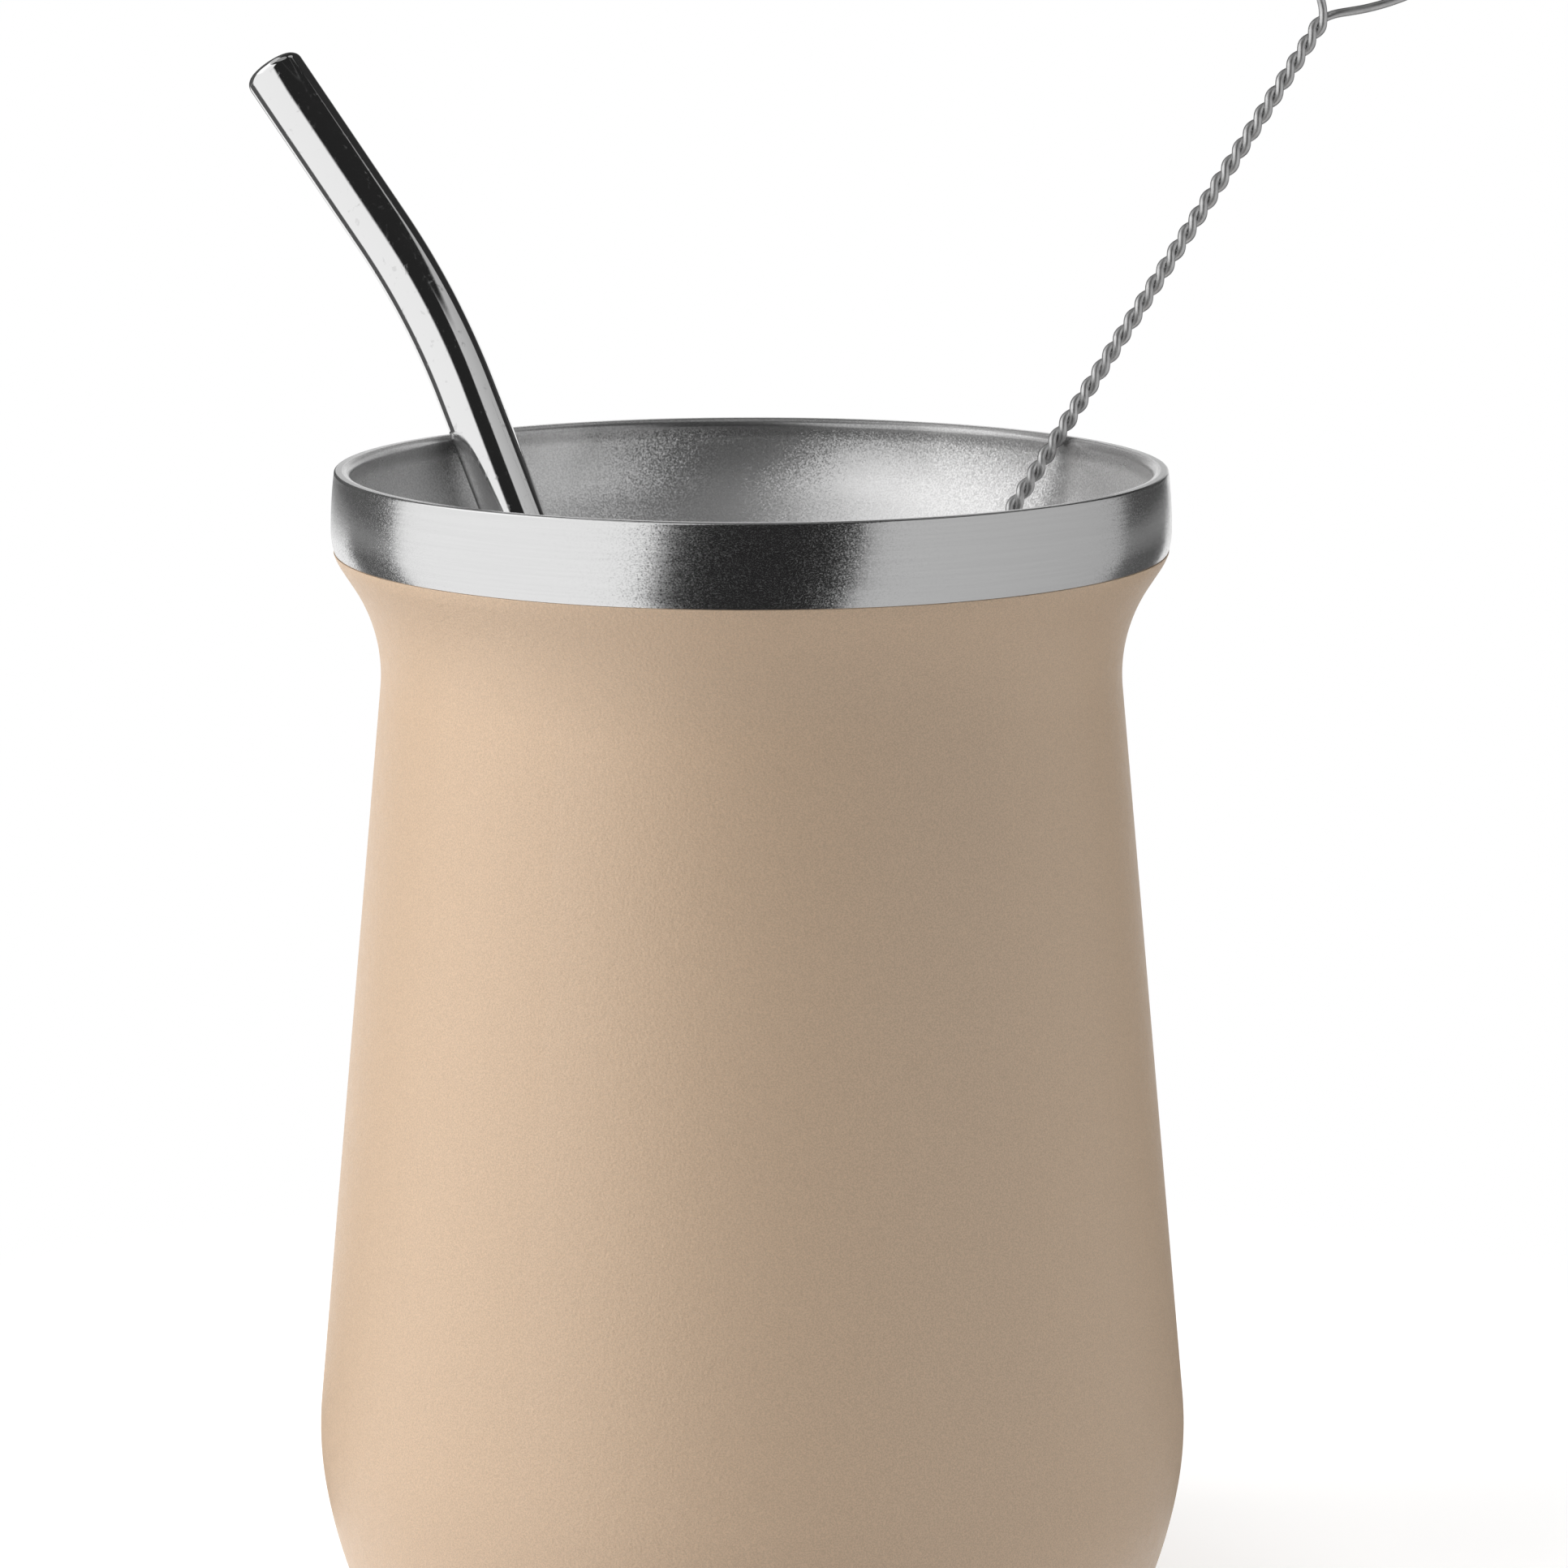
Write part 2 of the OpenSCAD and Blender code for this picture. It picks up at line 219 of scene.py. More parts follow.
LIP_Z = CUP_H - LIP_W / 2
SEAM_R = barrel_r(LIP_Z) - LIP_W / 2
COAT_A = -math.asin((COAT_DROP - (CUP_H - BAND_Z)) / BAND_CORNER_R)
SHELL = Wall(
    top_r=BAND_R, top_z=BAND_Z, corner_r=BAND_CORNER_R, neck_r=NECK_R, belly_r=BELLY_R,
    curve_r=BELLY_CURVE_R, floor_z=0, foot_r=BASE_CORNER_R,
)
LINER = Wall(
    top_r=SEAM_R - LIP_W / 2, top_z=LIP_Z - LIP_LAND, corner_r=LINER_CORNER_R,
    neck_r=NECK_R - WALL_DEPTH, belly_r=BELLY_R - WALL_DEPTH, curve_r=BELLY_CURVE_R - WALL_DEPTH,
    floor_z=FLOOR_Z, foot_r=FLOOR_CORNER_R,
)


def shell_outline():
    """Outer steel wall, from the recess in its base up to the lip's seam and back down inside."""
    recess_top = np.array([RECESS_FLAT_R, RECESS_H - RECESS_EDGE_R])
    recess_foot = np.array([RESTING_RING_R, RECESS_EDGE_R])
    barrel_c = np.array([BAND_R - BAND_BARREL_R, BAND_Z])
    top_a = math.asin((CUP_H - LIP_EDGE_R - BAND_Z) / BAND_BARREL_R)
    inner_r = BAND_BARREL_R - SHEET_T
    inner_a = math.asin((CUP_H - SEAM_H - SHEET_T / 2 - BAND_Z) / inner_r)
    lip_edge = np.array([barrel_r(CUP_H - LIP_EDGE_R) - LIP_EDGE_R, CUP_H - LIP_EDGE_R])
    points = [np.array([0, RECESS_H])]
    points += arc(recess_top, RECESS_EDGE_R, math.pi / 2, math.pi / 4, 4)
    points += arc(recess_foot, RECESS_EDGE_R, -math.pi * 3 / 4, -math.pi / 2, 4)
    points += SHELL.base(0, -COAT_END)
    points += SHELL.side(0, -COAT_END, COAT_A)[1:]
    points += SHELL.top_corner(0, COAT_A)[1:]
    points += arc(barrel_c, BAND_BARREL_R, 0, top_a, 12)[1:]
    points += arc(lip_edge, LIP_EDGE_R, LIP_EDGE_START, math.pi / 2, 10)
    points += [np.array([SEAM_R, CUP_H]), np.array([SEAM_R, CUP_H - SEAM_H])]
    points += arc(barrel_c, inner_r, inner_a, 0, 4)
    points += SHELL.top_corner(SHEET_T, COAT_A)[::-1]
    points += SHELL.side(SHEET_T, -COAT_END, COAT_A)[::-1]
    points += SHELL.base(SHEET_T, -COAT_END)[::-1]
    points += [np.array([RECESS_R + SHEET_T, SHEET_T])]
    points += [np.array([RECESS_R + SHEET_T - RECESS_H, RECESS_H + SHEET_T])]
    points += [np.array([0, RECESS_H + SHEET_T])]
    return points


def coat_outline():
    """Skin of paint on the steel, with both of its edges rounded."""
    outer = SHELL.side(-COAT_T, -COAT_END, COAT_A)
    inner = SHELL.side(0, -COAT_END, COAT_A)
    top_c = (outer[-1] + inner[-1]) / 2
    low_c = (outer[0] + inner[0]) / 2
    top_a = heading(outer[-1] - inner[-1])
    low_a = heading(inner[0] - outer[0])
    top = arc(top_c, COAT_T / 2, top_a, top_a + math.pi, 5)[1:-1]
    low = arc(low_c, COAT_T / 2, low_a, low_a + math.pi, 5)[1:-1]
    return outer + top + inner[::-1] + low


def liner_outline():
    """Inner wall and floor, with the inner half of the lip."""
    points = [np.array([0, FLOOR_Z])]
    points += LINER.side(0, -math.pi / 2, 0)
    points += arc(np.array([SEAM_R, LIP_Z]), LIP_W / 2, math.pi, math.pi / 2, 14)
    points += [np.array([SEAM_R, CUP_H - SEAM_H])]
    points += LINER.side(-SHEET_T, -math.pi / 2, 0)[::-1]
    points += [np.array([0, FLOOR_Z - SHEET_T])]
    return points


# Mesh building
def add_piece(name, verts, faces, sharp_deg=35):
    """A mesh object with smooth shading, except across edges sharper than sharp_deg."""
    mesh = bpy.data.meshes.new(name)
    mesh.from_pydata([tuple(v) for v in verts], [], faces)
    mesh.validate()
    mesh.polygons.foreach_set("use_smooth", [True] * len(mesh.polygons))
    mesh.set_sharp_from_angle(angle=math.radians(sharp_deg))
    mesh.update()
    piece = bpy.data.objects.new(name, mesh)
    bpy.context.scene.collection.objects.link(piece)
    return piece


def revolve(name, outline):
    """Turns a closed outline of (radius, height) points about the Z axis."""
    same_point = 1e-7
    on_axis = 1e-9
    steps = [np.linalg.norm(p - before) for before, p in zip(outline, outline[1:])]
    outline = outline[:1] + [p for p, step in zip(outline[1:], steps) if step > same_point]
    verts = []
    index = []
    for r, z in outline:
        if r < on_axis:
            index.append([len(verts)] * CUP_SIDES)
            verts.append((0, 0, z))
            continue
        first = len(verts)
        index.append(list(range(first, first + CUP_SIDES)))
        for k in range(CUP_SIDES):
            a = 2 * math.pi * k / CUP_SIDES
            verts.append((r * math.cos(a), r * math.sin(a), z))
    faces = []
    for i, here in enumerate(index):
        after = index[(i + 1) % len(index)]
        for k in range(CUP_SIDES):
            m = (k + 1) % CUP_SIDES
            corners = [here[k], here[m], after[m], after[k]]
            corners = [c for j, c in enumerate(corners) if c not in corners[:j]]
            if len(corners) > 2:
                faces.append(corners)
    return add_piece(name, verts, faces)


def ring(middle, direction, radius, sides):
    """Points of a circle round middle, square to direction."""
    u = unit(np.array([0, 1, 0]) - direction[1] * direction)
    v = np.cross(direction, u)
    angles = np.arange(sides) * 2 * math.pi / sides
    return middle + radius * (np.outer(np.cos(angles), u) + np.outer(np.sin(angles), v))


def ring_faces(rings, sides, closed):
    """Quads between each ring and the next; a closed sweep also joins the last to the first."""
    faces = []
    for i in range(rings if closed else rings - 1):
        a = i * sides
        b = ((i + 1) % rings) * sides
        for k in range(sides):
            m = (k + 1) % sides
            faces.append((a + k, a + m, b + m, b + k))
    return faces


# Rods that stand in the cup and lean on its lip
def polar(radius, azimuth, z):
    """A place on the cup, its azimuth counted from +X."""
    return np.array([radius * math.cos(azimuth), radius * math.sin(azimuth), z])


def lean_direction(foot, lip_az, reach):
    """Direction of a rod from foot that passes the middle of the lip's edge at the distance reach."""
    lip = polar(SEAM_R, lip_az, LIP_Z)
    along_lip = np.array([-math.sin(lip_az), math.cos(lip_az), 0])
    direction = unit(lip - foot)
    for _ in range(8):
        away = unit(np.cross(direction, along_lip))
        direction = unit(lip + away * reach - foot)
    return direction


def placed(points, foot, direction, roll=0.0):
    """Points of a rod drawn up the Z axis, set at foot and turned along direction."""
    turn = Matrix.Rotation(heading(direction), 4, "Z")
    tilt = Matrix.Rotation(math.acos(direction[2]), 4, "Y")
    m = np.array(Matrix.Translation(Vector(foot)) @ turn @ tilt @ Matrix.Rotation(roll, 4, "Z"))
    return np.asarray(points) @ m[:3, :3].T + m[:3, 3]


STRAW_FOOT = polar(STRAW_FOOT_R, STRAW_FOOT_AZ, FLOOR_Z + STRAINER_R + REST_GAP)
STRAW_DIR = lean_direction(STRAW_FOOT, STRAW_LIP_AZ, LIP_W / 2 + STRAW_R + REST_GAP)
BEND_START = (polar(SEAM_R, STRAW_LIP_AZ, LIP_Z) - STRAW_FOOT) @ STRAW_DIR + STRAW_RISE
LINER_R = LINER.belly[0] + math.sqrt(LINER.curve_r**2 - (BRUSH_TIP_Z - BELLY_Z) ** 2)
BRUSH_TIP = polar(LINER_R - BRUSH_TIP_GAP, BRUSH_TIP_AZ, BRUSH_TIP_Z)
BRUSH_DIR = lean_direction(BRUSH_TIP, BRUSH_LIP_AZ, LIP_W / 2 + 2 * WIRE_R + REST_GAP)


def tube_frame(z):
    """Middle and direction of the straw's axis at the length z from its foot, before it is placed."""
    a = min(max(z - BEND_START, 0) / BEND_R, BEND_ANGLE)
    over = max(z - BEND_START - BEND_L, 0)
    x = BEND_R * (1 - math.cos(a)) + over * math.sin(a)
    up = min(z, BEND_START) + BEND_R * math.sin(a) + over * math.cos(a)
    return np.array([x, 0, up]), np.array([math.sin(a), 0, math.cos(a)])


def make_straw():
    """Tube with one gentle bend and an open bore, its mouth end rolled in."""
    bend_end = BEND_START + BEND_L
    edge_z = bend_end + MOUTH_L - MOUTH_EDGE_R
    stops = list(np.linspace(TUBE_START, BEND_START, 24))
    stops += list(np.linspace(BEND_START, bend_end, 22))[1:]
    stops += list(np.linspace(bend_end, edge_z, 8))[1:-1]
    edge_r = STRAW_R - MOUTH_EDGE_R
    bore_edge = MOUTH_EDGE_R - STRAW_WALL
    stations = [(z, STRAW_R) for z in stops]
    for a in np.linspace(0, math.pi / 2, 12):
        stations.append((edge_z + MOUTH_EDGE_R * math.sin(a), edge_r + MOUTH_EDGE_R * math.cos(a)))
    for a in np.linspace(math.pi / 2, 0, 8):
        stations.append((edge_z + bore_edge * math.sin(a), edge_r + bore_edge * math.cos(a)))
    stations += [(z, STRAW_R - STRAW_WALL) for z in stops[::-1]]
    rings = []
    for z, radius in stations:
        middle, direction = tube_frame(z)
        rings.append(ring(middle, direction, radius, TUBE_SIDES))
    verts = placed(np.concatenate(rings), STRAW_FOOT, STRAW_DIR, BEND_ROLL)
    return add_piece("straw", verts, ring_faces(len(rings), TUBE_SIDES, True))


def twist_angle(z):
    """Angle of the first strand at the height z on the rod; the twist is left-handed."""
    return 2 * math.pi * (ROD_L - z) / TWIST_PITCH


def strand_points(side):
    """One strand of the twist, from the tip up to the loop."""
    z = np.linspace(0, ROD_L, int(ROD_L / TWIST_PITCH * TWIST_POINTS) + 1)
    a = twist_angle(z) + side
    return np.stack([HELIX_R * np.cos(a), HELIX_R * np.sin(a), z], 1)


def loop_points():
    """The finger loop: two sides that bow out a little and run into a circle as tangents."""
    rise = (LOOP_R - HELIX_R * math.cos(LOOP_SPREAD)) / math.sin(LOOP_SPREAD)
    centre_z = ROD_L + rise
    leave = LOOP_SPREAD + LOOP_LEAVE_BOW
    join = LOOP_SPREAD - LOOP_JOIN_BOW
    a = np.linspace(-join, math.pi + join, 90)
    round_part = np.stack([LOOP_R * np.cos(a), 0 * a, centre_z + LOOP_R * np.sin(a)], 1)
    start = np.array([HELIX_R, 0, ROD_L])
    end = round_part[0]
    reach = np.linalg.norm(end - start) / 3
    bow = [
        start,
        start + reach * np.array([math.sin(leave), 0, math.cos(leave)]),
        end - reach * np.array([math.sin(join), 0, math.cos(join)]),
        end,
    ]
    t = np.linspace(0, 1, 40)[1:-1, None]
    weights = ((1 - t) ** 3, 3 * t * (1 - t) ** 2, 3 * t**2 * (1 - t), t**3)
    up = sum(w * p for w, p in zip(weights, bow))
    down = up[::-1] * [-1, 1, 1]
    return np.concatenate([up, round_part, down])


def make_brush_wire():
    """One length of wire, folded into the loop and twisted with itself."""
    first = strand_points(0)
    second = strand_points(math.pi)[::-1]
    path = np.concatenate([first, loop_points(), second])
    for _ in range(JOIN_PASSES):
        for e in (len(first), len(path) - len(second)):
            part = path[e - JOIN_POINTS - 1:e + JOIN_POINTS + 1]
            path[e - JOIN_POINTS:e + JOIN_POINTS] = (part[:-2] + 2 * part[1:-1] + part[2:]) / 4
    tangents = [unit(t) for t in np.gradient(path, axis=0)]
    past_end = np.array([0, 0, WIRE_END_L])
    rings = [ring(path[0] - past_end, tangents[0], WIRE_END_R, WIRE_SIDES)]
    rings += [ring(p, t, WIRE_R, WIRE_SIDES) for p, t in zip(path, tangents)]
    rings += [ring(path[-1] - past_end, tangents[-1], WIRE_END_R, WIRE_SIDES)]
    faces = ring_faces(len(rings), WIRE_SIDES, False)
    last = (len(rings) - 1) * WIRE_SIDES
    faces.append(tuple(range(WIRE_SIDES - 1, -1, -1)))
    faces.append(tuple(range(last, last + WIRE_SIDES)))
    verts = placed(np.concatenate(rings), BRUSH_TIP, BRUSH_DIR)
    return add_piece("brush_wire_twisted", verts, faces, sharp_deg=70)


def filament(z, azimuth, bow, drift, end_r):
    """One square filament, as four corners at each of its root, middle and end."""
    up = np.array([0, 0, 1])
    out = np.array([math.cos(azimuth), math.sin(azimuth), 0])
    across = np.array([-math.sin(azimuth), math.cos(azimuth), 0])
    half = FILAMENT_R / math.sqrt(2)
    corners = []
    for k in (0, 0.5, 1):
        middle = out * (BRISTLE_ROOT + (end_r - BRISTLE_ROOT) * k)
        middle = middle + across * bow * k * k + up * (z + drift * k)
        corners += [middle + half * (u * across + v * up) for u, v in ((1, 1), (-1, 1), (-1, -1), (1, -1))]
    return corners


def make_bristles():
    """Fine filaments held between the strands, in two fans that wind along the rod."""
    rng = np.random.default_rng(7)
    rolls = rng.uniform(-0.5, 0.5, FILAMENTS)
    verts = []
    faces = []
    for i in range(FILAMENTS):
        z = BARE_TIP + BRISTLE_L * (i + 0.5 + rolls[i]) / FILAMENTS
        for side in (0, math.pi):
            spread = rng.uniform(-0.5, 0.5) * FAN_ANGLE
            azimuth = twist_angle(z) + math.pi / 2 + side + spread
            bow = rng.normal(0, FILAMENT_BOW)
            drift = rng.normal(0, FILAMENT_DRIFT)
            end_r = BRISTLE_R * (1 - abs(rng.normal(0, FILAMENT_SHORTENING)))
            first = len(verts)
            verts += filament(z, azimuth, bow, drift, end_r)
            for b in (first, first + 4):
                faces += [(b + k, b + (k + 1) % 4, b + 4 + (k + 1) % 4, b + 4 + k) for k in range(4)]
            faces.append((first + 8, first + 9, first + 10, first + 11))
    verts = np.array(verts)
    verts[:, 2] = np.clip(verts[:, 2], BARE_TIP, BARE_TIP + BRISTLE_L)
    return add_piece("bristle_fans", placed(verts, BRUSH_TIP, BRUSH_DIR), faces, sharp_deg=100)


# Materials
class Nodes:
    """Writes the node tree of a material or a world, line by line."""

    def __init__(self, owner, empty=True):
        owner.use_nodes = True
        self.tree = owner.node_tree
        if empty:
            self.tree.nodes.clear()

    def add(self, kind, inputs=None, **settings):
        made = self.tree.nodes.new(kind)
        for key, value in settings.items():
            setattr(made, key, value)
        for key, value in (inputs or {}).items():
            self.feed(made.inputs[key], value)
        return made

    def feed(self, socket, value):
        """Links a value that is an output of a node, and writes any other value on the socket."""
        if isinstance(value, bpy.types.NodeSocket):
            self.tree.links.new(value, socket)
        else:
            socket.default_value = value

    def math(self, operation, a, b=0.0):
        return self.add("ShaderNodeMath", {0: a, 1: b}, operation=operation).outputs[0]

    def ramp(self, value, low, high, to_low=0.0, to_high=1.0, smooth=True):
        """Value mapped from low..high to to_low..to_high."""
        inputs = {"Value": value, "From Min": low, "From Max": high, "To Min": to_low, "To Max": to_high}
        kind = "SMOOTHSTEP" if smooth else "LINEAR"
        return self.add("ShaderNodeMapRange", inputs, interpolation_type=kind).outputs[0]

    def mix_shader(self, factor, a, b):
        return self.add("ShaderNodeMixShader", {0: factor, 1: a, 2: b}).outputs[0]

    def seen(self):
        """1 where the camera, gloss or glass looks, and 0 for the light on matt surfaces."""
        rays = self.add("ShaderNodeLightPath").outputs
        direct = self.math("MAXIMUM", rays["Is Camera Ray"], rays["Is Glossy Ray"])
        return self.math("MAXIMUM", direct, rays["Is Transmission Ray"])


class Shader(Nodes):
    """A material of the object, built round one Principled BSDF. Scales of noise are per metre."""

    def __init__(self, name):
        self.material = bpy.data.materials.new(name)
        super().__init__(self.material, empty=False)
        self.surface = self.tree.nodes["Principled BSDF"]
        self.coords = self.add("ShaderNodeTexCoord").outputs["Object"]

    def set(self, **inputs):
        """Feeds the sockets of the Principled BSDF, with _ in a socket's name for each space."""
        for key, value in inputs.items():
            self.feed(self.surface.inputs[key.replace("_", " ")], value)

    def vector(self, operation, a, b=(0, 0, 0)):
        return self.add("ShaderNodeVectorMath", {0: a, 1: b}, operation=operation).outputs[0]

    def leant(self, normal, direction, amount):
        """The normal, leant along direction by amount."""
        scaled = self.add("ShaderNodeVectorMath", {0: direction, "Scale": amount}, operation="SCALE")
        return self.vector("NORMALIZE", self.vector("ADD", normal, scaled.outputs[0]))

    def grained(self, normal, scale, amount):
        """The normal, leant a little at random in every direction."""
        inputs = {"Vector": self.coords, "Scale": scale, "Detail": 1.0, "Roughness": 0.5}
        colour = self.add("ShaderNodeTexNoise", inputs).outputs["Color"]
        return self.leant(normal, self.vector("SUBTRACT", colour, (0.5, 0.5, 0.5)), amount)

    def noise(self, scale, detail, roughness=0.5):
        inputs = {"Vector": self.coords, "Scale": scale, "Detail": detail, "Roughness": roughness}
        return self.add("ShaderNodeTexNoise", inputs).outputs["Fac"]

    def streaks(self, scales, detail, roughness=0.5):
        """Noise with a scale of its own along each axis."""
        vector = self.add("ShaderNodeMapping", {"Vector": self.coords, "Scale": scales}).outputs[0]
        inputs = {"Vector": vector, "Scale": 1.0, "Detail": detail, "Roughness": roughness}
        return self.add("ShaderNodeTexNoise", inputs).outputs["Fac"]

    def swing(self, value, amount):
        """A noise value turned from 0..1 into a swing about zero."""
        return self.math("MULTIPLY", self.math("SUBTRACT", value, 0.5), amount)

    def mix_color(self, factor, a, b):
        return self.add("ShaderNodeMix", {0: factor, 6: a, 7: b}, data_type="RGBA").outputs[2]

    def axis(self, name):
        return self.add("ShaderNodeSeparateXYZ", {0: self.coords}).outputs[name]

    def by_depth(self, deep, shallow, at_deep, at_shallow, smooth=True):
        """A value that changes between two depths below the top of the lip."""
        return self.ramp(self.axis("Z"), CUP_H - deep, CUP_H - shallow, at_deep, at_shallow, smooth)

    def normal(self):
        return self.add("ShaderNodeNewGeometry").outputs["Normal"]

    def facing_up(self, low, high):
        """0 on walls and 1 where the surface faces upwards."""
        up = self.add("ShaderNodeSeparateXYZ", {0: self.normal()}).outputs["Z"]
        return self.ramp(up, low, high)

    def bump(self, height, distance, strength, normal=None):
        made = self.add("ShaderNodeBump", {"Height": height, "Distance": distance, "Strength": strength})
        if normal is not None:
            self.feed(made.inputs["Normal"], normal)
        return made.outputs[0]


def steel(level):
    """A neutral steel colour of the given brightness."""
    return (level, level, level, 1)


TAN_DARK = (0.555, 0.415, 0.293, 1)
TAN_LIGHT = (0.683, 0.51, 0.36, 1)
NYLON_DARK = (0.74, 0.74, 0.7, 1)
NYLON_LIGHT = (0.86, 0.86, 0.83, 1)


def brushed_band():
    """Stainless steel, brushed and finely grained round the axis, with an even satin lip."""
    s = Shader("band_steel_brushed")
    crest = s.math("MULTIPLY", s.facing_up(0.55, 0.8), s.by_depth(0.9 * MM, 0.7 * MM, 0.0, 1.0))
    wall = s.math("SUBTRACT", 1.0, crest)
    specks = s.streaks((6000, 6000, 9000), 1.0)
    lines = s.streaks((420, 420, 6500), 3.0, 0.6)
    long_lines = s.streaks((60, 60, 3200), 2.0)
    lean = s.math("ADD", s.swing(specks, 0.07), s.swing(lines, 0.05))
    normal = s.normal()
    around = s.vector("CROSS_PRODUCT", (0, 0, 1), normal)
    normal = s.leant(normal, around, s.math("MULTIPLY", lean, wall))
    pits = s.ramp(s.noise(7000, 1.0), 0.52, 0.7, 0.05, 0.23)
    normal = s.grained(normal, 7000, s.math("MULTIPLY", wall, pits))
    dull = s.math("MULTIPLY", s.ramp(specks, 0.42, 0.72, 0.0, 0.13), wall)
    s.set(
        Base_Color=s.mix_color(s.ramp(long_lines, 0.3, 0.7), steel(0.75), steel(0.77)),
        Metallic=1.0,
        Roughness=s.math("ADD", s.ramp(crest, 0.0, 1.0, 0.14, 0.24), dull),
        Anisotropic=0.4,
        Tangent=s.add("ShaderNodeTangent", direction_type="RADIAL", axis="Z").outputs[0],
        Normal=s.bump(lines, 0.004 * MM, 0.5, normal),
    )
    return s.material


def powder_coat():
    """Matt tan powder coat with a fine pebbled grain."""
    s = Shader("tan_powder_coat_grain")
    pebble = s.noise(3600, 2.0, 0.55)
    swell = s.noise(900, 2.0)
    speck = s.noise(8000, 1.0)
    height = s.math("ADD", s.math("MULTIPLY", pebble, 0.7), s.math("MULTIPLY", swell, 0.4))
    s.set(
        Base_Color=s.mix_color(s.ramp(speck, 0.3, 0.7), TAN_DARK, TAN_LIGHT),
        Roughness=s.ramp(swell, 0.3, 0.7, 0.38, 0.46),
        Specular_IOR_Level=0.55,
        Normal=s.grained(s.bump(height, 0.09 * MM, 0.7), 8000, 0.22),
    )
    return s.material


def blasted_liner():
    """Bead blasted steel inside the cup, without grain on the lip, with painted shade just below the lip
    and on the upper wall and painted light on the sides.
    """
    s = Shader("liner_steel_blasted")
    grain = s.noise(5500, 1.0)
    blasted = s.by_depth(1.2 * MM, 0.8 * MM, 1.0, 0.0)
    cloud = s.ramp(s.noise(160, 2.0), 0.3, 0.7, 0.24, 0.27)
    deeper = s.by_depth(9 * MM, 1 * MM, 0.12, 0.0, smooth=False)
    # Mask of the walls at the sides, which face the lamps: painted light lifts their colour there, and
    # they are less metallic
    side = s.ramp(s.math("ABSOLUTE", s.axis("X")), 8 * MM, 20 * MM)
    # Painted shade: the colour is darker in a strip just below the lip and on the upper wall, less so at
    # the sides, and faces that look upwards keep the full colour
    painted_shade_under_lip = s.by_depth(2.2 * MM, 1.3 * MM, 1.0, 0.7)
    painted_shade_upper_wall = s.by_depth(6 * MM, 1.5 * MM, 1.0, 0.7, smooth=False)
    painted_shade_and_light = s.math("MULTIPLY", painted_shade_under_lip, s.math("MAXIMUM", painted_shade_upper_wall, side))
    painted_shade_and_light = s.math("MAXIMUM", painted_shade_and_light, s.facing_up(0.6, 0.9))
    sparkle = s.mix_color(s.ramp(grain, 0.3, 0.7), steel(0.66), steel(0.87))
    s.set(
        Base_Color=s.mix_color(painted_shade_and_light, steel(0.0), sparkle),
        Metallic=s.ramp(side, 0.0, 1.0, 0.86, 0.68, smooth=False),
        Roughness=s.math("ADD", cloud, deeper),
        Normal=s.grained(s.normal(), 5500, s.math("MULTIPLY", blasted, 0.45)),
    )
    return s.material


def polished_tube():
    """Mirror polished tube with faint drawing marks, fine scratches and a few dull specks."""
    s = Shader("straw_steel_polished")
    marks = s.streaks((1500, 1500, 90), 3.0, 0.6)
    wave = s.noise(120, 1.0, 0.4)
    spots = s.ramp(s.noise(1100, 2.0), 0.64, 0.74)
    scratches = s.ramp(s.streaks((2600, 2600, 330), 2.0, 0.7), 0.6, 0.74)
    height = s.math("ADD", s.math("MULTIPLY", marks, 0.22), s.math("MULTIPLY", wave, 0.8))
    height = s.math("ADD", height, s.math("MULTIPLY", scratches, 0.1))
    dull = s.math("MULTIPLY", s.math("MAXIMUM", spots, scratches), 0.16)
    s.set(
        Base_Color=s.mix_color(spots, steel(0.82), steel(0.72)),
        Metallic=1.0,
        Roughness=s.math("ADD", s.ramp(marks, 0.3, 0.7, 0.04, 0.085), dull),
        Normal=s.bump(height, 0.02 * MM, 0.25),
    )
    return s.material


def strainer_steel():
    """Polished steel with faint turning marks."""
    s = Shader("strainer_steel_turned")
    marks = s.streaks((200, 200, 3000), 2.0, 0.6)
    s.set(
        Base_Color=s.mix_color(s.ramp(marks, 0.3, 0.7), steel(0.7), steel(0.78)),
        Metallic=1.0,
        Roughness=s.ramp(marks, 0.3, 0.7, 0.14, 0.22),
        Normal=s.bump(marks, 0.01 * MM, 0.4),
    )
    return s.material


def wire_steel():
    """Drawn steel wire with a dull satin surface."""
    s = Shader("wire_steel_satin")
    marks = s.noise(1700, 3.0, 0.6)
    s.set(
        Base_Color=s.mix_color(s.ramp(marks, 0.3, 0.7), steel(0.66), steel(0.78)),
        Metallic=1.0,
        Roughness=s.ramp(s.noise(500, 1.0), 0.3, 0.7, 0.36, 0.46),
        Normal=s.bump(marks, 0.02 * MM, 0.3),
    )
    return s.material


def bristle_nylon():
    """White nylon filament, a little different from one filament to the next."""
    s = Shader("bristle_nylon_white")
    change = s.noise(2500, 1.0)
    s.set(
        Base_Color=s.mix_color(s.ramp(change, 0.3, 0.7), NYLON_DARK, NYLON_LIGHT),
        Roughness=s.ramp(change, 0.3, 0.7, 0.32, 0.45),
        Specular_IOR_Level=0.5,
    )
    return s.material


# Stage: floor, studio, lamps and camera. Azimuths are in degrees here, 0 at the camera's side, 90 at +X.
FLOOR_HALF = 3.0
FLOOR_Z_DROP = 0.05 * MM
FLOOR_COLOR = (0.8, 0.8, 0.8, 1)
FLOOR_GLOW = 0.46
SHADOW_R = 0.16
AMBIENT = 0.03
WHITE = (1, 1, 1, 1)
LEFT_LAMP_COLOR = (1, 0.98, 0.97)
LAMP_AIM = Vector((0, 0, 0.06))
CAMERA_PLACE = (3.04 * MM, -480 * MM, 174.4 * MM)
CAMERA_DOWN = math.radians(10.81)
CAMERA_LENS = 118.71
SENSOR_W = 36

